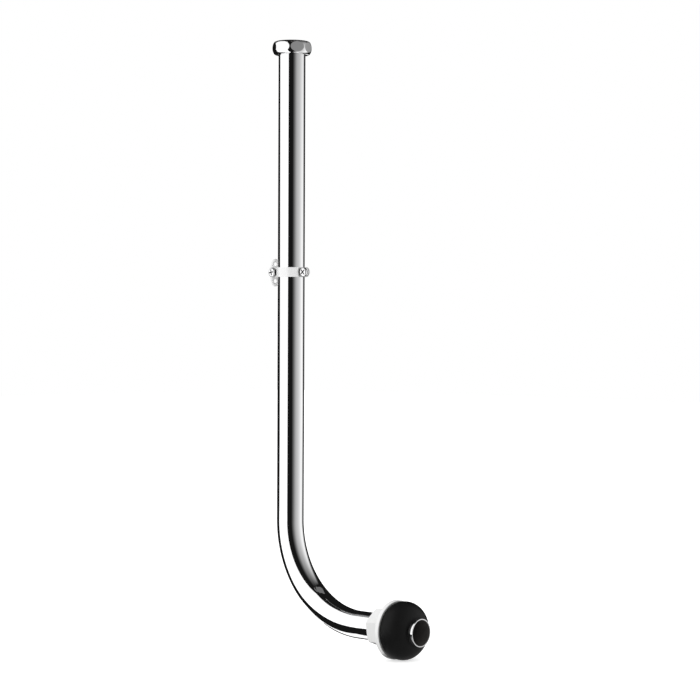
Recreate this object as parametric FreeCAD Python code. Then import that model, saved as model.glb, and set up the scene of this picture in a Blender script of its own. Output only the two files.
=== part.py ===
"""Chromed flush pipe for an exposed flush valve: bent tube, octagonal union nut with its
gasket, wall clamp with two straps, and the push-in connector for the pan inlet.

Frame: the origin is the centre of the pipe's upper end, +Z is up along the riser, and the
short leg points to -Y, away from the wall. All sizes are in millimetres.
"""
import FreeCAD, Part
import math
import os

# Pipe
PIPE_OD = 28.0
PIPE_WALL = 1.0
PIPE_HEIGHT = 588.5
PIPE_REACH = 182.0
BEND_RADIUS = 100.0
PIPE_END_CHAMFER = 0.3
COLLAR_OVERHANG = 1.0
COLLAR_THICKNESS = 1.8

# Gasket between the pipe's collar and the valve
GASKET_THICKNESS = 2.0
GASKET_INSET = 0.1

# Octagonal union nut: a turned barrel with flats, bored to the middle of its G 1 thread
NUT_ACROSS_FLATS = 38.4
NUT_FACES = 8
NUT_HEIGHT = 14.0
NUT_TURN_DEG = 38.5
NUT_BARREL_D = 41.0
NUT_BARREL_ARC = 11.0
NUT_EDGE_ROUND = 3.4
NUT_SHOULDER = 2.5
NUT_PIPE_CLEARANCE = 0.4
NUT_COLLAR_PLAY = 0.1
NUT_THREAD_R = 15.6
NUT_RELIEF_DEPTH = 0.8
NUT_RELIEF_RUN = 0.3
NUT_LEAD_IN = 0.3

# Wall clamp: two bent straps and the saddle on its wall plate
CLAMP_DROP = 230.5
STRAP_HEIGHT = 10.0
STRAP_THICKNESS = 1.2
STRAP_CLEARANCE = 0.2
STRAP_BEND = 2.0
FRONT_GAP = 1.0
SADDLE_WIDTH = 15.8
SADDLE_WALL = 1.0
SADDLE_CLEARANCE = 0.1
REAR_EAR_MARGIN = 1.0
REAR_EAR_CORNER = 1.2
PLATE_HEIGHT = 29.0
PLATE_THICKNESS = 2.5
PLATE_EDGE_ROUND = 1.2
PLATE_HOLE_D = 4.4
PLATE_HOLE_SPACING = 17.6
PLATE_SINK_D = 8.0

# Clamp screws, M5, through the left strap and into tapped holes in the right one
SCREW_D = 5.0
SCREW_HOLE_D = 5.2
SCREW_THREAD_CLEARANCE = 0.05
SCREW_HEAD_D = 9.0
SCREW_HEAD_HEIGHT = 2.8
SCREW_HEAD_ROUND = 1.2
SCREW_BAND_GAP = 0.8
SCREW_STICK_OUT = 0.6
RECESS_LENGTH = 6.4
RECESS_WIDTH = 1.3
RECESS_DEPTH = 1.6
FRONT_RECESS_TURN_DEG = 50.0
REAR_RECESS_TURN_DEG = 80.0

# Connector for the pan inlet: flanged hexagonal collar and rubber cone
COLLAR_LENGTH = 21.5
COLLAR_ACROSS_FLATS = 34.6
COLLAR_TURN_DEG = 50.0
COLLAR_CHAMFER = 1.2
COLLAR_BORE_CLEARANCE = 0.15
SHOULDER_DIAMETER = 41.0
SHOULDER_THICKNESS = 2.2
GROOVE_WIDTH = 0.8
GROOVE_DIAMETER = 38.0
FLANGE_DIAMETER = 59.0
FLANGE_THICKNESS = 5.0
FLANGE_EDGE_ROUND = 1.0
RUBBER_LENGTH = 24.7
PIPE_STUB = 6.3
RUBBER_CROWN_D = 58.4
RUBBER_DOME_RADIUS = 17.0
RUBBER_NOSE_LIP = 1.6
RUBBER_BORE_CLEARANCE = 0.05
RUBBER_SLEEVE = 4.0
RUBBER_SKIRT = 4.5
RUBBER_HOLLOW_DEPTH = 9.0

# Derived sizes
PIPE_R = PIPE_OD / 2
BORE_R = PIPE_R - PIPE_WALL
LEG_Z = -PIPE_HEIGHT
BEND_TOP_Z = LEG_Z + BEND_RADIUS
PIPE_COLLAR_R = PIPE_R + COLLAR_OVERHANG
NUT_BOTTOM_Z = -COLLAR_THICKNESS - NUT_COLLAR_PLAY - NUT_SHOULDER
STRAP_INNER_R = PIPE_R + STRAP_CLEARANCE
STRAP_OUTER_R = STRAP_INNER_R + STRAP_THICKNESS
HEAD_R = SCREW_HEAD_D / 2
FRONT_SCREW_Y = -(STRAP_OUTER_R + SCREW_BAND_GAP + HEAD_R)
REAR_SCREW_Y = STRAP_INNER_R + SADDLE_WALL + SCREW_HOLE_D / 2
PLATE_FRONT_Y = REAR_SCREW_Y + SCREW_HOLE_D / 2 + SADDLE_WALL
FRONT_EAR_X = FRONT_GAP / 2
REAR_EAR_X = SADDLE_WIDTH / 2 + SADDLE_CLEARANCE
RUBBER_NOSE = PIPE_REACH - PIPE_STUB
FLANGE_END = RUBBER_NOSE - RUBBER_LENGTH
FLANGE_START = FLANGE_END - FLANGE_THICKNESS
COLLAR_START = FLANGE_START - COLLAR_LENGTH
SHOULDER_END = FLANGE_START - GROOVE_WIDTH

HEX_SIDES = 6

# Slack for finding edges by their place
NEAR = 0.01

ORIGIN = FreeCAD.Vector(0, 0, 0)
RIGHT = FreeCAD.Vector(1, 0, 0)
BACK = FreeCAD.Vector(0, 1, 0)
LEG = FreeCAD.Vector(0, -1, 0)
UP = FreeCAD.Vector(0, 0, 1)
CLAMP_CENTRE = FreeCAD.Vector(0, 0, -CLAMP_DROP)


def riser_point(radius, height):
    """A point in the profile plane of a piece turned about the riser."""
    return FreeCAD.Vector(radius, 0, height)


def leg_point(distance, radius):
    """A point in the profile plane of a piece turned about the short leg."""
    return FreeCAD.Vector(0, -distance, LEG_Z + radius)


def line(start, end):
    return Part.LineSegment(start, end).toShape()


def arc(start, middle, end):
    return Part.Arc(start, middle, end).toShape()


def chain(points):
    """Straight edges from each point to the next."""
    return [line(a, b) for a, b in zip(points, points[1:])]


def turned(edges, centre, axis):
    """The solid of revolution of a closed profile."""
    return Part.Face(Part.Wire(edges)).revolve(centre, axis, 360)


def polygon_prism(across_flats, sides, centre, axis, first_vertex, length):
    """A regular prism whose first corner lies in the direction first_vertex."""
    corner = first_vertex * (across_flats / 2 / math.cos(math.pi / sides))
    turns = [FreeCAD.Rotation(axis, 360 * index / sides) for index in range(sides + 1)]
    outline = Part.makePolygon([centre + turn.multVec(corner) for turn in turns])
    return Part.Face(outline).extrude(axis * length)


def flush_pipe():
    """Tube in one piece: riser, bend and leg, with an upset collar at its upper end."""
    def section(centre, normal):
        outer = Part.Wire(Part.makeCircle(PIPE_R, centre, normal))
        inner = Part.Wire(Part.makeCircle(BORE_R, centre, normal))
        return Part.Face(outer).cut(Part.Face(inner)).Faces[0]

    bend_start = FreeCAD.Vector(0, 0, BEND_TOP_Z)
    bend_centre = FreeCAD.Vector(0, -BEND_RADIUS, BEND_TOP_Z)
    bend_end = leg_point(BEND_RADIUS, 0)
    riser = section(bend_start, UP).extrude(UP * -BEND_TOP_Z)
    bend = section(bend_start, UP).revolve(bend_centre, RIGHT, -90)
    leg = section(bend_end, LEG).extrude(LEG * (PIPE_REACH - BEND_RADIUS))
    ring = Part.makeCylinder(PIPE_COLLAR_R, COLLAR_THICKNESS, ORIGIN, -UP)
    ring = ring.cut(Part.makeCylinder(PIPE_R - PIPE_WALL / 2, COLLAR_THICKNESS, ORIGIN, -UP))
    pipe = riser.fuse([bend, leg, ring]).removeSplitter()
    rims = [edge for edge in pipe.Edges if edge.Closed and edge.BoundBox.YMax < NEAR - PIPE_REACH]
    return pipe.makeChamfer(PIPE_END_CHAMFER, rims)


def gasket():
    """Flat ring that lies on the pipe's collar."""
    ring = Part.makeCylinder(PIPE_COLLAR_R - GASKET_INSET, GASKET_THICKNESS)
    return ring.cut(Part.makeCylinder(BORE_R, GASKET_THICKNESS))


def union_nut():
    """Barrel with eight flats and rounded rims, bored for the thread, its run-out and the pipe."""
    bottom = NUT_BOTTOM_Z
    top = bottom + NUT_HEIGHT
    middle = (bottom + top) / 2
    barrel_r = NUT_BARREL_D / 2
    barrel_centre_r = barrel_r - NUT_BARREL_ARC
    edge_offset = NUT_BARREL_ARC - NUT_EDGE_ROUND
    edge_angle = math.asin((NUT_HEIGHT / 2 - NUT_EDGE_ROUND) / edge_offset)
    rim_r = barrel_centre_r + edge_offset * math.cos(edge_angle)
    half_angle = (edge_angle + math.pi / 2) / 2

    def barrel_point(angle, side):
        height = side * NUT_BARREL_ARC * math.sin(angle)
        return riser_point(barrel_centre_r + NUT_BARREL_ARC * math.cos(angle), middle + height)

    def edge_point(angle, side):
        height = edge_offset * math.sin(edge_angle) + NUT_EDGE_ROUND * math.sin(angle)
        return riser_point(rim_r + NUT_EDGE_ROUND * math.cos(angle), middle + side * height)

    profile = chain([riser_point(rim_r, top), riser_point(0, top),
                     riser_point(0, bottom), riser_point(rim_r, bottom)])
    profile.append(arc(riser_point(rim_r, bottom), edge_point(half_angle, -1),
                       barrel_point(edge_angle, -1)))
    profile.append(arc(barrel_point(edge_angle, -1), barrel_point(0, 1), barrel_point(edge_angle, 1)))
    profile.append(arc(barrel_point(edge_angle, 1), edge_point(half_angle, 1), riser_point(rim_r, top)))
    first_corner = FreeCAD.Rotation(UP, NUT_TURN_DEG).multVec(RIGHT)
    prism = polygon_prism(NUT_ACROSS_FLATS, NUT_FACES, UP * bottom, UP, first_corner, NUT_HEIGHT)
    nut = prism.common(turned(profile, ORIGIN, UP))

    shoulder_z = bottom + NUT_SHOULDER
    thread_z = GASKET_THICKNESS + NUT_RELIEF_RUN
    relief_r = NUT_THREAD_R + NUT_RELIEF_DEPTH
    pipe_hole_r = PIPE_R + NUT_PIPE_CLEARANCE
    bore = [riser_point(0, bottom), riser_point(pipe_hole_r, bottom), riser_point(pipe_hole_r, shoulder_z),
            riser_point(relief_r, shoulder_z), riser_point(relief_r, thread_z),
            riser_point(NUT_THREAD_R, thread_z), riser_point(NUT_THREAD_R, top - NUT_LEAD_IN),
            riser_point(NUT_THREAD_R + NUT_LEAD_IN, top), riser_point(0, top), riser_point(0, bottom)]
    return nut.cut(turned(chain(bore), ORIGIN, UP))


def clamp_box(low_x, high_x, low_y, high_y, height):
    """A block centred on the clamp's height."""
    corner = CLAMP_CENTRE + FreeCAD.Vector(low_x, low_y, -height / 2)
    return Part.makeBox(high_x - low_x, high_y - low_y, height, corner)


def clamp_disc(radius, height):
    """A cylinder about the riser, centred on the clamp's height."""
    return Part.makeCylinder(radius, height, CLAMP_CENTRE - UP * (height / 2))


def cross_hole(y, radius):
    """A hole along X through the whole clamp, at the screw's place."""
    reach = STRAP_OUTER_R + SCREW_HEAD_HEIGHT
    return Part.makeCylinder(radius, 2 * reach, CLAMP_CENTRE + BACK * y - RIGHT * reach, RIGHT)


def upright_edges(shape, x, low_y, high_y):
    """Straight vertical edges at the given X, between two places along Y."""
    found = []
    for edge in shape.Edges:
        box = edge.BoundBox
        if max(box.XLength, box.YLength, abs(box.XMin - x)) < NEAR:
            if low_y < box.YMin < high_y:
                found.append(edge)
    return found


def strap_half(screw_hole_r):
    """Half of the band on the +X side, with its front ear and its rear ear."""
    band = clamp_disc(STRAP_OUTER_R, STRAP_HEIGHT)
    far = 2 * STRAP_OUTER_R
    band = band.cut(clamp_box(-far, FRONT_EAR_X, -far, 0, STRAP_HEIGHT))
    band = band.cut(clamp_box(-far, REAR_EAR_X, 0, far, STRAP_HEIGHT))

    ear_end_r = STRAP_HEIGHT / 2
    front_outer = FRONT_EAR_X + STRAP_THICKNESS
    front = clamp_box(FRONT_EAR_X, front_outer, FRONT_SCREW_Y, -STRAP_INNER_R / 2, STRAP_HEIGHT)
    round_end = CLAMP_CENTRE + FreeCAD.Vector(FRONT_EAR_X, FRONT_SCREW_Y, 0)
    front = front.fuse(Part.makeCylinder(ear_end_r, STRAP_THICKNESS, round_end, RIGHT))

    rear_outer = REAR_EAR_X + STRAP_THICKNESS
    rear_end = REAR_SCREW_Y + SCREW_HOLE_D / 2 + REAR_EAR_MARGIN
    rear = clamp_box(REAR_EAR_X, rear_outer, STRAP_INNER_R / 2, rear_end, STRAP_HEIGHT)
    tips = [edge for edge in rear.Edges if edge.BoundBox.YMin > rear_end - NEAR]
    rear = rear.makeFillet(REAR_EAR_CORNER, [edge for edge in tips if edge.BoundBox.XLength > NEAR])

    strap = band.fuse([front, rear]).removeSplitter()
    strap = strap.cut(clamp_disc(STRAP_INNER_R, STRAP_HEIGHT))
    bends = upright_edges(strap, front_outer, -STRAP_OUTER_R, 0)
    bends += upright_edges(strap, rear_outer, 0, STRAP_OUTER_R)
    strap = strap.makeFillet(STRAP_BEND, bends)
    for screw_y in (FRONT_SCREW_Y, REAR_SCREW_Y):
        strap = strap.cut(cross_hole(screw_y, screw_hole_r))
    return strap


def right_strap():
    """The half whose ears are tapped for the screws."""
    return strap_half(SCREW_D / 2 + SCREW_THREAD_CLEARANCE)


def left_strap():
    """The half that the screws pass through, under their heads."""
    return strap_half(SCREW_HOLE_D / 2).mirror(CLAMP_CENTRE, RIGHT)


def wall_plate():
    """Oval plate with two countersunk wall screw holes, and the saddle behind the pipe."""
    half_width = SADDLE_WIDTH / 2
    front = CLAMP_CENTRE + BACK * PLATE_FRONT_Y
    oval = Part.Ellipse(front + UP * (PLATE_HEIGHT / 2), front + RIGHT * half_width, front)
    disc = Part.Face(Part.Wire(oval.toShape())).extrude(BACK * PLATE_THICKNESS)
    front_rim = [edge for edge in disc.Edges if edge.BoundBox.YMax < PLATE_FRONT_Y + NEAR]
    disc = disc.makeFillet(PLATE_EDGE_ROUND, front_rim)
    saddle = clamp_box(-half_width, half_width, STRAP_INNER_R / 2, PLATE_FRONT_Y, STRAP_HEIGHT)
    saddle = saddle.cut(clamp_disc(STRAP_INNER_R, STRAP_HEIGHT))
    saddle = saddle.cut(cross_hole(REAR_SCREW_Y, SCREW_HOLE_D / 2))
    plate = disc.fuse(saddle).removeSplitter()
    hole_r = PLATE_HOLE_D / 2
    sink_r = PLATE_SINK_D / 2
    for side in (-1, 1):
        centre = CLAMP_CENTRE + UP * (side * PLATE_HOLE_SPACING / 2)
        hole = Part.makeCylinder(hole_r, PLATE_THICKNESS, centre + BACK * PLATE_FRONT_Y, BACK)
        sink = Part.makeCone(sink_r, hole_r, sink_r - hole_r, centre + BACK * PLATE_FRONT_Y, BACK)
        plate = plate.cut(hole.fuse(sink))
    return plate


def clamp_screw(y, ear_x, recess_turn):
    """Cross-recessed round-head screw along X, its head on the left strap's ear."""
    seat = -(ear_x + STRAP_THICKNESS)
    tip = ear_x + STRAP_THICKNESS + SCREW_STICK_OUT
    start = CLAMP_CENTRE + BACK * y
    shank = Part.makeCylinder(SCREW_D / 2, tip - seat, start + RIGHT * seat, RIGHT)
    head = Part.makeCylinder(HEAD_R, SCREW_HEAD_HEIGHT, start + RIGHT * seat, -RIGHT)
    crown = seat - SCREW_HEAD_HEIGHT
    crown_rim = [edge for edge in head.Edges if edge.BoundBox.XMax < crown + NEAR]
    head = head.makeFillet(SCREW_HEAD_ROUND, crown_rim)
    screw = shank.fuse(head).removeSplitter()
    corner = start + FreeCAD.Vector(crown, -RECESS_LENGTH / 2, -RECESS_WIDTH / 2)
    for turn in (recess_turn, recess_turn + 90):
        slot = Part.makeBox(RECESS_DEPTH, RECESS_LENGTH, RECESS_WIDTH, corner)
        slot.rotate(start, RIGHT, turn)
        screw = screw.cut(slot)
    return screw


def flanged_collar():
    """Hexagonal plastic collar on a round shoulder, a groove, and the flange over the pan inlet."""
    first_corner = FreeCAD.Rotation(LEG, -COLLAR_TURN_DEG).multVec(UP)
    corner_r = COLLAR_ACROSS_FLATS / 2 / math.cos(math.pi / HEX_SIDES)
    hexagon = polygon_prism(COLLAR_ACROSS_FLATS, HEX_SIDES, leg_point(COLLAR_START, 0), LEG,
                            first_corner, COLLAR_LENGTH)
    blank = chain([leg_point(COLLAR_START, 0), leg_point(COLLAR_START, corner_r - COLLAR_CHAMFER),
                   leg_point(COLLAR_START + COLLAR_CHAMFER, corner_r), leg_point(SHOULDER_END, corner_r),
                   leg_point(SHOULDER_END, 0), leg_point(COLLAR_START, 0)])
    hexagon = hexagon.common(turned(blank, leg_point(0, 0), LEG))
    shoulder = Part.makeCylinder(SHOULDER_DIAMETER / 2, SHOULDER_THICKNESS,
                                 leg_point(SHOULDER_END - SHOULDER_THICKNESS, 0), LEG)
    neck = Part.makeCylinder(GROOVE_DIAMETER / 2, GROOVE_WIDTH, leg_point(SHOULDER_END, 0), LEG)
    flange = Part.makeCylinder(FLANGE_DIAMETER / 2, FLANGE_THICKNESS, leg_point(FLANGE_START, 0), LEG)
    rims = [edge for edge in flange.Edges if edge.Closed and edge.BoundBox.YLength < NEAR]
    flange = flange.makeFillet(FLANGE_EDGE_ROUND, rims)
    bore = Part.makeCylinder(PIPE_R + COLLAR_BORE_CLEARANCE, FLANGE_END - COLLAR_START,
                             leg_point(COLLAR_START, 0), LEG)
    return hexagon.fuse([shoulder, neck, flange]).removeSplitter().cut(bore)


def rubber_cone():
    """Domed rubber seal on the pipe's end, hollow behind so that its skirt can give."""
    dome = RUBBER_DOME_RADIUS
    centre_r = RUBBER_CROWN_D / 2 - dome
    nose_r = PIPE_R + RUBBER_NOSE_LIP
    centre = RUBBER_NOSE - math.sqrt(dome ** 2 - (nose_r - centre_r) ** 2)
    lip_r = centre_r + math.sqrt(dome ** 2 - (centre - FLANGE_END) ** 2)
    bore_r = PIPE_R + RUBBER_BORE_CLEARANCE
    sleeve_r = bore_r + RUBBER_SLEEVE
    skirt_r = lip_r - RUBBER_SKIRT
    hollow_end = FLANGE_END + RUBBER_HOLLOW_DEPTH
    hollow_round = (skirt_r - sleeve_r) / 2
    profile = chain([leg_point(FLANGE_END, sleeve_r), leg_point(FLANGE_END, bore_r),
                     leg_point(RUBBER_NOSE, bore_r), leg_point(RUBBER_NOSE, nose_r)])
    profile.append(arc(leg_point(RUBBER_NOSE, nose_r), leg_point(centre, centre_r + dome),
                       leg_point(FLANGE_END, lip_r)))
    profile += chain([leg_point(FLANGE_END, lip_r), leg_point(FLANGE_END, skirt_r),
                      leg_point(hollow_end, skirt_r)])
    profile.append(arc(leg_point(hollow_end, skirt_r),
                       leg_point(hollow_end + hollow_round, sleeve_r + hollow_round),
                       leg_point(hollow_end, sleeve_r)))
    profile.append(line(leg_point(hollow_end, sleeve_r), leg_point(FLANGE_END, sleeve_r)))
    return turned(profile, leg_point(0, 0), LEG)


PIECES = {
    "flush_pipe": flush_pipe(),
    "gasket": gasket(),
    "union_nut": union_nut(),
    "left_strap": left_strap(),
    "right_strap": right_strap(),
    "wall_plate": wall_plate(),
    "front_screw": clamp_screw(FRONT_SCREW_Y, FRONT_EAR_X, FRONT_RECESS_TURN_DEG),
    "rear_screw": clamp_screw(REAR_SCREW_Y, REAR_EAR_X, REAR_RECESS_TURN_DEG),
    "flanged_collar": flanged_collar(),
    "rubber_cone": rubber_cone(),
}

os.makedirs("parts", exist_ok=True)
for name, piece in PIECES.items():
    piece.exportStep(f"parts/{name}.step")
    print(name, "valid", piece.isValid(), "solids", len(piece.Solids), "volume", round(piece.Volume, 1))
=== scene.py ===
"""Looks of the flush pipe: chrome, white plastic and rubber, in a studio with two soft panels."""
import math
import bpy
from mathutils import Matrix, Vector


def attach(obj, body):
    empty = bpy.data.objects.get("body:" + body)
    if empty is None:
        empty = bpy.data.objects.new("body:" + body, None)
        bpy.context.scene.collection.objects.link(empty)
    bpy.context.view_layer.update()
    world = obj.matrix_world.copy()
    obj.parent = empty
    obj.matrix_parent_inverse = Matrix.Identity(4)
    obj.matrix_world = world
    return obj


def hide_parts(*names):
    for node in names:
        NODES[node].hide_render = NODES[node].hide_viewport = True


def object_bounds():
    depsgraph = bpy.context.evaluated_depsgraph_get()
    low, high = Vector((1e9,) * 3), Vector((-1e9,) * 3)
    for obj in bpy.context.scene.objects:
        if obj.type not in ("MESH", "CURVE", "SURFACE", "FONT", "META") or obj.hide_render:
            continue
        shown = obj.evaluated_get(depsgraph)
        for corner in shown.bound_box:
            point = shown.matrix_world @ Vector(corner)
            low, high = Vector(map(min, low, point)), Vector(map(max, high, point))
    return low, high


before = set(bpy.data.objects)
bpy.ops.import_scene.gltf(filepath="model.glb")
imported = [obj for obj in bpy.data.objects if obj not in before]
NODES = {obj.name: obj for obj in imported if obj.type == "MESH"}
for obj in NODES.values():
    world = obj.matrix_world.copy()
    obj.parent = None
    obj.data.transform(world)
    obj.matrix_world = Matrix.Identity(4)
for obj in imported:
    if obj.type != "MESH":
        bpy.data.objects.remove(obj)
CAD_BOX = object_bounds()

UP = Vector((0, 0, 1))
SIDE = Vector((1, 0, 0))

# Camera: aimed level at the riser's axis, then turned to the right, down and about its own axis
IMAGE_SIZE = 700
SENSOR_MM = 36.0
FOCAL_PIXELS = 2097.4
CAMERA_AZIMUTH = math.radians(-45.34)
CAMERA_DISTANCE = 2.189
CAMERA_HEIGHT = -0.284
CAMERA_YAW = math.radians(1.6124)
CAMERA_PITCH = math.radians(0.7131)
CAMERA_ROLL = math.radians(0.2313)

# Pipe, in metres, as in the solid, with a sharper end
PIPE_R = 0.014
BORE_R = 0.013
PIPE_COLLAR_R = 0.015
PIPE_COLLAR_THICKNESS = 0.0018
PIPE_HEIGHT = 0.5885
PIPE_REACH = 0.182
BEND_RADIUS = 0.1
PIPE_CHAMFER = 0.00006
PIPE_SIDES = 160
RISER_STEPS = 24
BEND_STEPS = 90
LEG_STEPS = 10

# Union thread, G 1: a ridge in the nut's plain hole
THREAD_PITCH = 0.002309
THREAD_WALL_R = 0.01565
THREAD_CREST_R = 0.0152
THREAD_LOW = 0.0032
THREAD_HIGH = 0.0084
THREAD_FOOT = 0.0008
THREAD_FLAT = 0.0002
THREAD_STEPS = 96

# Edges that turn by more than this stay sharp
SHARP_DEG = 30

# Studio: metres, and degrees to the right of the camera's direction and above the horizon
ROOM_CENTRE = Vector((0, 0, -0.5))
PANEL_DISTANCE = 1.5
ROOM_DISTANCE = 3.4
PANEL_LOW = -4.3
ROOM_LOW = -1.9
FLOOR_HALF = 6.0
CARD_LIFT = 0.0004
FLOOR_LOOK = -10.0

# Light of the world, the floor and the cards
WORLD_GLOW = 1.0
FLOOR_GLOW = 0.62
FLOOR_COLOUR = 0.8
LEFT_GLOW = 1.2
STRIP_GLOW = 0.17
LINE_GLOW = 0.35
DARK = 0.009

# Cards on a dome: angle, lowest and highest point
LEFT_PANEL = [(-126, 40, 46), (-119, 26, 55), (-111, 11, 60.5), (-107, PANEL_LOW, 62),
              (-100, PANEL_LOW, 64.5), (-84, PANEL_LOW, 66), (-60, PANEL_LOW, 66), (-45, PANEL_LOW, 64.5),
              (-33, PANEL_LOW, 62), (-29.5, PANEL_LOW, 40), (-27.5, PANEL_LOW, 14)]
TOP_STRIP = [(-12, 67, 73), (6, 69, 77), (30, 71.5, 82), (66, 71.5, 82), (90, 70, 80.5), (102, 66, 78),
             (114, 60, 75.5), (126, 52, 71), (134, 46, 64)]
LEFT_LINE = [(-148, 43, 51), (-138.5, 43, 51)]
DARK_WALLS = [(-180, ROOM_LOW, 30), (180, ROOM_LOW, 30)]
DARK_CEILING = [(-180, 29, 90), (180, 29, 90)]

# Right panel: angle, and the heights at which its light begins and ends to fade
RIGHT_FADE = [(10, 26, 76), (42, 20, 74), (66, 9, 72), (78, 8, 72), (102, 10, 63), (116, 16, 55),
              (126, 12, 46), (135, 8, 34)]
FADE_POWER = 1.45

# Right panel: angle and light, and from an angle on, height and outward shift of that light
RIGHT_LIGHT = [(10, 0.02), (14, 0.045), (18, 0.08), (24, 0.15), (30, 0.24), (36, 0.34), (42, 0.44),
               (48, 0.51), (54, 0.57), (66, 0.67), (78, 0.8), (90, 0.96), (102, 1.09), (112, 1.09),
               (118, 0.9), (122, 0.45), (126, 0.2), (131, 0.06), (135, 0.02)]
SHIFT_START = 112
RIGHT_SHIFT = [(-90, 0), (-1, 0), (1.5, 3), (4.5, 2.5), (7, 1), (18, 1), (23, 0)]

# Floor under the bend: angle and light
NEAR_LIGHT = [(42, 0.25), (60, 0.27), (80, 0.33), (100, 0.42), (120, 0.53), (140, 0.68), (160, 0.76),
              (200, 0.8)]

# Dark card on the floor: angle and distance from the riser
DARK_STRIP = [(34, 0.02), (34, 0.087), (37, 0.1), (38, 0.14), (14, 0.16), (-15.6, 0.103), (-25.5, 0.097),
              (-45, 0.112), (-75, 0.105), (-88, 0.115), (-98, 0.13), (-104, 0.16), (-108, 0.2),
              (-109, 0.25), (-109, 0.5), (-109, 4.4), (-178, 4.4), (-178, 0.5), (-174, 0.3),
              (-172, 0.215), (-168, 0.155), (-160, 0.11), (-152, 0.075), (-145, 0.05), (-140, 0.02)]

# Materials: detail of the noise, the gloss's scale against the colour's, and how painted shade in corners is
# found from ambient occlusion
MOTTLE_DETAIL = 3.0
GRAIN_DETAIL = 2.0
GLOSS_SCALE = 2.7
OPEN_SAMPLES = 8
OPEN_RANGE = (0.58, 0.85)

# Colours: the two that each material is mottled with
CHROME_COLOURS = ((0.85, 0.85, 0.855), (0.88, 0.88, 0.885))
STEEL_COLOURS = ((0.9, 0.9, 0.9), (0.94, 0.94, 0.94))
PLASTIC_COLOURS = ((0.89, 0.89, 0.885), (0.92, 0.92, 0.915))
RUBBER_COLOURS = ((0.006, 0.006, 0.006), (0.009, 0.009, 0.009))
FIBRE_COLOURS = ((0.2, 0.06, 0.04), (0.4, 0.13, 0.09))
BORE_COLOURS = ((0.05, 0.048, 0.045), (0.08, 0.075, 0.07))


def toward(relative_deg):
    """Level direction from the riser, at an angle to the right of the camera's direction."""
    azimuth = CAMERA_AZIMUTH + math.radians(relative_deg)
    return Vector((math.sin(azimuth), -math.cos(azimuth), 0))


def make_camera():
    camera = bpy.data.objects.new("camera", bpy.data.cameras.new("camera"))
    bpy.context.scene.collection.objects.link(camera)
    camera.data.sensor_fit = "HORIZONTAL"
    camera.data.sensor_width = SENSOR_MM
    camera.data.lens = FOCAL_PIXELS / IMAGE_SIZE * SENSOR_MM
    level = -toward(0)
    level = level * math.cos(CAMERA_YAW) + level.cross(UP) * math.sin(CAMERA_YAW)
    ahead = level * math.cos(CAMERA_PITCH) - UP * math.sin(CAMERA_PITCH)
    right = level.cross(UP)
    above = right.cross(ahead)
    rolled_right = right * math.cos(CAMERA_ROLL) + above * math.sin(CAMERA_ROLL)
    rolled_up = above * math.cos(CAMERA_ROLL) - right * math.sin(CAMERA_ROLL)
    turn = Matrix((rolled_right, rolled_up, -ahead)).transposed().to_4x4()
    camera.matrix_world = Matrix.Translation(toward(0) * CAMERA_DISTANCE + UP * CAMERA_HEIGHT) @ turn
    bpy.context.scene.camera = camera


def new_material(name):
    material = bpy.data.materials.new(name)
    material.use_nodes = True
    material.node_tree.nodes.clear()
    return material


class Graph:
    """Short names for adding and joining shader nodes."""

    def __init__(self, tree):
        self.tree = tree

    def add(self, kind, **settings):
        node = self.tree.nodes.new("ShaderNode" + kind)
        for name, value in settings.items():
            setattr(node, name, value)
        return node

    def join(self, source, target):
        self.tree.links.new(source, target)

    def show(self, shader):
        self.join(shader.outputs[0], self.add("OutputMaterial").inputs["Surface"])


def seen_directly(graph):
    """1 for camera, glossy and transmission rays, 0 for diffuse light."""
    path = graph.add("LightPath")
    first = graph.add("Math", operation="MAXIMUM")
    graph.join(path.outputs["Is Camera Ray"], first.inputs[0])
    graph.join(path.outputs["Is Glossy Ray"], first.inputs[1])
    second = graph.add("Math", operation="MAXIMUM")
    graph.join(first.outputs[0], second.inputs[0])
    graph.join(path.outputs["Is Transmission Ray"], second.inputs[1])
    return second.outputs[0]


def make_world():
    world = bpy.data.worlds.new("studio")
    bpy.context.scene.world = world
    world.use_nodes = True
    light = world.node_tree.nodes["Background"]
    light.inputs["Color"].default_value = (1, 1, 1, 1)
    light.inputs["Strength"].default_value = WORLD_GLOW


def add_mesh(name, points, faces):
    mesh = bpy.data.meshes.new(name)
    mesh.from_pydata([tuple(point) for point in points], [], faces)
    thing = bpy.data.objects.new(name, mesh)
    bpy.context.scene.collection.objects.link(thing)
    return thing


def make_floor():
    """White floor that takes shadows and glows a little where it is seen or mirrored."""
    height = CAD_BOX[0][2]
    corners = [(x * FLOOR_HALF, y * FLOOR_HALF, height) for x, y in ((-1, -1), (1, -1), (1, 1), (-1, 1))]
    floor = add_mesh("floor", corners, [(0, 1, 2, 3)])
    material = new_material("floor_white")
    graph = Graph(material.node_tree)
    diffuse = graph.add("BsdfDiffuse")
    diffuse.inputs["Color"].default_value = (FLOOR_COLOUR, FLOOR_COLOUR, FLOOR_COLOUR, 1)
    glow = graph.add("Emission")
    strength = graph.add("Math", operation="MULTIPLY")
    graph.join(seen_directly(graph), strength.inputs[0])
    strength.inputs[1].default_value = FLOOR_GLOW
    graph.join(strength.outputs[0], glow.inputs["Strength"])
    both = graph.add("AddShader")
    graph.join(diffuse.outputs[0], both.inputs[0])
    graph.join(glow.outputs[0], both.inputs[1])
    graph.show(both)
    floor.data.materials.append(material)


def glow_material():
    """Light whose strength is stored in the card's points."""
    material = new_material("glow")
    graph = Graph(material.node_tree)
    stored = graph.add("Attribute", attribute_name="glow")
    glow = graph.add("Emission")
    glow.inputs["Color"].default_value = (1, 1, 1, 1)
    graph.join(stored.outputs["Fac"], glow.inputs["Strength"])
    graph.show(glow)
    return material


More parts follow.
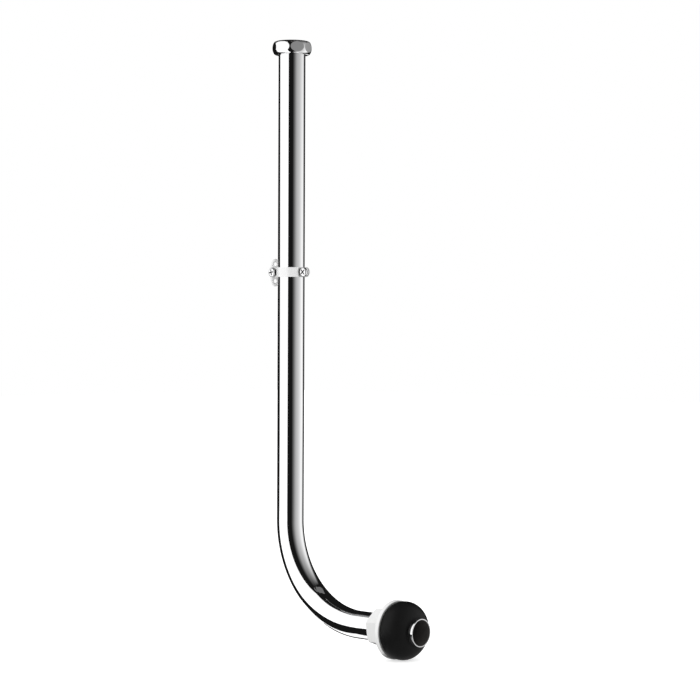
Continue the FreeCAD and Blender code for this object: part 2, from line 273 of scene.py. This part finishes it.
def between(knots, place):
    """Straight interpolation in a list of (place, value, ...), all values at once."""
    for low, high in zip(knots, knots[1:]):
        if place <= high[0]:
            part = (place - low[0]) / (high[0] - low[0])
            return [a + (b - a) * part for a, b in zip(low[1:], high[1:])]
    return list(knots[-1][1:])


def card(name, points, faces, glows, lights):
    """Stage card that reflections see and the camera doesn't; with lights it also lights matt surfaces."""
    thing = add_mesh(name, points, faces)
    stored = thing.data.attributes.new("glow", "FLOAT", "POINT")
    stored.data.foreach_set("value", glows)
    thing.data.materials.append(GLOW)
    thing.visible_camera = False
    thing.visible_shadow = False
    thing.visible_diffuse = lights


def dome_card(name, distance, outline, glow, lights=False, columns=40, rows=16):
    """Curved card about the room's centre: outline is a list of (angle, lowest, highest)."""
    points = []
    glows = []
    for column in range(columns + 1):
        angle = outline[0][0] + (outline[-1][0] - outline[0][0]) * column / columns
        low, high = between(outline, angle)
        for row in range(rows + 1):
            height = math.radians(low + (high - low) * row / rows)
            direction = toward(angle) * math.cos(height) + UP * math.sin(height)
            points.append(ROOM_CENTRE + direction * distance)
            glows.append(glow(angle, math.degrees(height)))
    step = rows + 1
    faces = [(c * step + r, (c + 1) * step + r, (c + 1) * step + r + 1, c * step + r + 1)
             for c in range(columns) for r in range(rows)]
    card(name, points, faces, glows, lights)


def floor_card(name, layer, outline):
    """Dark card just above the floor, for reflections: outline is a list of (angle, distance)."""
    height = CAD_BOX[0][2] + CARD_LIFT * layer
    points = [toward(angle) * distance + UP * height for angle, distance in outline]
    card(name, points, [tuple(range(len(points)))], [DARK] * len(points), False)


def floor_sector(name, layer, angles, distances, glow, gain=1.0, steps=24):
    """Part of a ring on the floor about the riser; its light grows outwards by the gain."""
    height = CAD_BOX[0][2] + CARD_LIFT * layer
    left, right = angles
    near, far = distances
    points = []
    glows = []
    for step in range(steps + 1):
        angle = left + (right - left) * step / steps
        for distance, times in ((near, 1.0), (far, gain)):
            points.append(toward(angle) * distance + UP * height)
            glows.append(glow(angle, FLOOR_LOOK) * times)
    faces = [(2 * step, 2 * step + 1, 2 * step + 3, 2 * step + 2) for step in range(steps)]
    card(name, points, faces, glows, False)


def even(strength):
    """Light that is the same all over a card."""
    return lambda angle, height: strength


def right_glow(angle, height):
    """The right panel grows brighter away from the camera and fades out towards its upper edge."""
    if angle > SHIFT_START:
        angle -= between(RIGHT_SHIFT, height)[0]
    across = between(RIGHT_LIGHT, angle)[0]
    start, end = between(RIGHT_FADE, angle)
    part = min(max((height - start) / (end - start), 0), 1)
    return across * (1 - part ** FADE_POWER)


def near_glow(angle, height):
    """The floor under the bend grows brighter towards the back."""
    return between(NEAR_LIGHT, angle)[0]


def make_studio():
    """White panel on the left, grey one on the right, and dark cards for the black lines in the chrome."""
    make_floor()
    right_panel = [(angle, PANEL_LOW, end) for angle, start, end in RIGHT_FADE]
    dome_card("left_panel", PANEL_DISTANCE, LEFT_PANEL, even(LEFT_GLOW), lights=True, columns=80)
    dome_card("right_panel", PANEL_DISTANCE, right_panel, right_glow, columns=64)
    dome_card("top_strip", PANEL_DISTANCE, TOP_STRIP, even(STRIP_GLOW))
    dome_card("left_line", PANEL_DISTANCE, LEFT_LINE, even(LINE_GLOW))
    dome_card("dark_walls", ROOM_DISTANCE, DARK_WALLS, even(DARK))
    dome_card("dark_ceiling", ROOM_DISTANCE, DARK_CEILING, even(DARK))
    floor_sector("dark_front_floor", layer=1, angles=(-27.5, 11), distances=(0.1, 3.7), glow=even(DARK))
    floor_sector("grey_right_floor", layer=2, angles=(10, 135), distances=(0.14, 1.7), glow=right_glow)
    floor_sector("near_right_floor", layer=3, angles=(47, 200), distances=(0.015, 0.062), glow=near_glow,
                 gain=1.6)
    floor_sector("leg_floor", layer=4, angles=(47, 110), distances=(0.03, 0.14), glow=even(DARK))
    floor_sector("dark_right_floor", layer=4, angles=(135, 170), distances=(0.3, 3.7), glow=even(DARK))
    floor_card("dark_strip", layer=5, outline=DARK_STRIP)


def smooth(thing):
    thing.data.shade_smooth()
    thing.data.set_sharp_from_angle(angle=math.radians(SHARP_DEG))


def finish_piece(piece, body, material):
    piece.data.materials.append(material)
    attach(piece, body)


def ring_mesh(name, rings):
    """Closed skin over rings of equal length; the last ring joins the first one."""
    count = len(rings[0])
    points = [point for ring in rings for point in ring]
    faces = []
    for index in range(len(rings)):
        here = index * count
        after = (index + 1) % len(rings) * count
        for side in range(count):
            beside = (side + 1) % count
            faces.append((here + side, after + side, after + beside, here + beside))
    return add_mesh(name, points, faces)


def pipe_ring(travel, radius):
    """Ring about the pipe's centreline, at a distance along it from the upper end."""
    bend_start = PIPE_HEIGHT - BEND_RADIUS
    turn = min(max((travel - bend_start) / BEND_RADIUS, 0), math.pi / 2)
    along = Vector((0, -math.sin(turn), -math.cos(turn)))
    outward = Vector((0, math.cos(turn), -math.sin(turn)))
    centre = Vector((0, -BEND_RADIUS, -bend_start)) + outward * BEND_RADIUS
    straight = min(travel, bend_start) - bend_start
    straight += max(travel - bend_start - BEND_RADIUS * math.pi / 2, 0)
    centre += along * straight
    ring = []
    for side in range(PIPE_SIDES):
        angle = 2 * math.pi * side / PIPE_SIDES
        sideways = SIDE * (radius * math.cos(angle))
        ring.append(centre + sideways + outward * (radius * math.sin(angle)))
    return ring


def make_pipe():
    """The tube with finer facets than the solid's: collar, outside, end and bore in one skin."""
    bend_start = PIPE_HEIGHT - BEND_RADIUS
    bend_end = bend_start + BEND_RADIUS * math.pi / 2
    end = bend_end + PIPE_REACH - BEND_RADIUS
    inner_end = end - PIPE_CHAMFER

    def travels(first):
        places = [first + (bend_start - first) * step / RISER_STEPS for step in range(RISER_STEPS)]
        places += [bend_start + (bend_end - bend_start) * step / BEND_STEPS for step in range(BEND_STEPS)]
        places += [bend_end + (inner_end - bend_end) * step / LEG_STEPS for step in range(LEG_STEPS + 1)]
        return places

    rings = [pipe_ring(0, PIPE_COLLAR_R), pipe_ring(PIPE_COLLAR_THICKNESS, PIPE_COLLAR_R)]
    rings += [pipe_ring(travel, PIPE_R) for travel in travels(PIPE_COLLAR_THICKNESS)]
    rings += [pipe_ring(end, PIPE_R - PIPE_CHAMFER), pipe_ring(end, BORE_R + PIPE_CHAMFER)]
    first_bore_face = PIPE_SIDES * len(rings)
    rings += [pipe_ring(travel, BORE_R) for travel in reversed(travels(0))]
    pipe = ring_mesh("pipe_skin", rings)
    smooth(pipe)
    finish_piece(pipe, "pipe", CHROME)
    pipe.data.materials.append(BORE)
    # The last ring of faces is the upper end
    for face in pipe.data.polygons[first_bore_face:-PIPE_SIDES]:
        face.material_index = 1
    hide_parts("flush_pipe")


def make_nut_thread():
    """Helical ridge of the union thread."""
    ridge = [(THREAD_WALL_R, -THREAD_FOOT), (THREAD_CREST_R, -THREAD_FLAT),
             (THREAD_CREST_R, THREAD_FLAT), (THREAD_WALL_R, THREAD_FOOT)]
    corners = range(len(ridge))
    turns = (THREAD_HIGH - THREAD_LOW) / THREAD_PITCH
    steps = int(turns * THREAD_STEPS)
    points = []
    for step in range(steps + 1):
        angle = 2 * math.pi * step / THREAD_STEPS
        height = THREAD_LOW + THREAD_PITCH * step / THREAD_STEPS
        for radius, rise in ridge:
            points.append((radius * math.cos(angle), radius * math.sin(angle), height + rise))
    faces = [tuple(corners), tuple(len(ridge) * steps + corner for corner in reversed(corners))]
    for step in range(steps):
        here = len(ridge) * step
        after = here + len(ridge)
        for corner in corners:
            beside = (corner + 1) % len(ridge)
            faces.append((here + corner, after + corner, after + beside, here + beside))
    thread = add_mesh("nut_thread", points, faces)
    smooth(thread)
    finish_piece(thread, "nut", CHROME)


def noise(graph, scale, detail):
    place = graph.add("TexCoord")
    texture = graph.add("TexNoise")
    graph.join(place.outputs["Object"], texture.inputs["Vector"])
    texture.inputs["Scale"].default_value = scale
    texture.inputs["Detail"].default_value = detail
    return texture.outputs["Fac"]


def ranged(graph, source, low, high, start=0.0, end=1.0):
    """Source from start to end, as a value from low to high."""
    ramp = graph.add("MapRange")
    graph.join(source, ramp.inputs["Value"])
    ramp.inputs["From Min"].default_value = start
    ramp.inputs["From Max"].default_value = end
    ramp.inputs["To Min"].default_value = low
    ramp.inputs["To Max"].default_value = high
    return ramp.outputs[0]


def paint_corner_shade(graph, colour, reach, lightness):
    """The colour with painted shade: darkened where surfaces within reach close a corner in."""
    open_part = graph.add("AmbientOcclusion", samples=OPEN_SAMPLES)
    open_part.inputs["Distance"].default_value = reach
    mixed = graph.add("Mix", data_type="RGBA", blend_type="MULTIPLY")
    mixed.inputs["Factor"].default_value = 1.0
    graph.join(colour, mixed.inputs["A"])
    graph.join(ranged(graph, open_part.outputs["AO"], lightness, 1.0, *OPEN_RANGE), mixed.inputs["B"])
    return mixed.outputs["Result"]


def surface(name, colours, mottle, roughness, grain, metallic=0.0, sheen=0.5, corner_shade=None):
    """Material with a mottled colour, a varying gloss and a fine grain.

    mottle is the scale of the colour's change, roughness a range, grain a scale and a depth in metres,
    and the shade painted into corners is given by a reach and a lightness.
    """
    material = new_material(name)
    graph = Graph(material.node_tree)
    shader = graph.add("BsdfPrincipled")
    shader.inputs["Metallic"].default_value = metallic
    shader.inputs["Specular IOR Level"].default_value = sheen
    mixed = graph.add("Mix", data_type="RGBA")
    graph.join(noise(graph, mottle, MOTTLE_DETAIL), mixed.inputs["Factor"])
    for socket, colour in zip("AB", colours):
        mixed.inputs[socket].default_value = (*colour, 1)
    colour = mixed.outputs["Result"]
    # Painted shade: the colour is darkened in corners, creases and recesses by ambient occlusion.
    if corner_shade:
        colour = paint_corner_shade(graph, colour, *corner_shade)
    graph.join(colour, shader.inputs["Base Color"])
    gloss = noise(graph, mottle * GLOSS_SCALE, MOTTLE_DETAIL)
    graph.join(ranged(graph, gloss, *roughness), shader.inputs["Roughness"])
    grain_scale, grain_depth = grain
    bump = graph.add("Bump")
    bump.inputs["Distance"].default_value = grain_depth
    graph.join(noise(graph, grain_scale, GRAIN_DETAIL), bump.inputs["Height"])
    graph.join(bump.outputs["Normal"], shader.inputs["Normal"])
    graph.show(shader)
    return material


def dress(material, *names):
    for name in names:
        NODES[name].data.materials.clear()
        NODES[name].data.materials.append(material)


GLOW = glow_material()
make_camera()
make_world()
make_studio()
bpy.context.scene.view_settings.view_transform = "Standard"

CHROME = surface("chrome", CHROME_COLOURS, mottle=60, roughness=(0.015, 0.03), grain=(300, 0.0000003),
                 metallic=1.0)
# The screws, straps and collar get painted shade in their recesses and corners.
SCREW = surface("screw_chrome", CHROME_COLOURS, mottle=60, roughness=(0.05, 0.08), grain=(300, 0.0000003),
                metallic=1.0, corner_shade=(0.0025, 0.02))
SATIN = surface("satin_steel", STEEL_COLOURS, mottle=200, roughness=(0.25, 0.32), grain=(2000, 0.000003),
                metallic=0.1, corner_shade=(0.004, 0.01))
PLATE = surface("plate_steel", STEEL_COLOURS, mottle=200, roughness=(0.4, 0.5), grain=(2000, 0.000003),
                metallic=0.03)
PLASTIC = surface("white_plastic", PLASTIC_COLOURS, mottle=90, roughness=(0.12, 0.2), grain=(2500, 0.000003),
                  corner_shade=(0.009, 0.35))
RUBBER = surface("black_rubber", RUBBER_COLOURS, mottle=120, roughness=(0.38, 0.55), grain=(1400, 0.00006),
                 sheen=0.12)
FIBRE = surface("fibre", FIBRE_COLOURS, mottle=700, roughness=(0.6, 0.8), grain=(4000, 0.00005))
BORE = surface("bore_metal", BORE_COLOURS, mottle=250, roughness=(0.5, 0.7), grain=(1500, 0.00001), sheen=0.2)
dress(CHROME, "union_nut")
dress(SCREW, "front_screw", "rear_screw")
dress(SATIN, "left_strap", "right_strap")
dress(PLATE, "wall_plate")
dress(PLASTIC, "flanged_collar")
dress(RUBBER, "rubber_cone")
dress(FIBRE, "gasket")
make_pipe()
make_nut_thread()
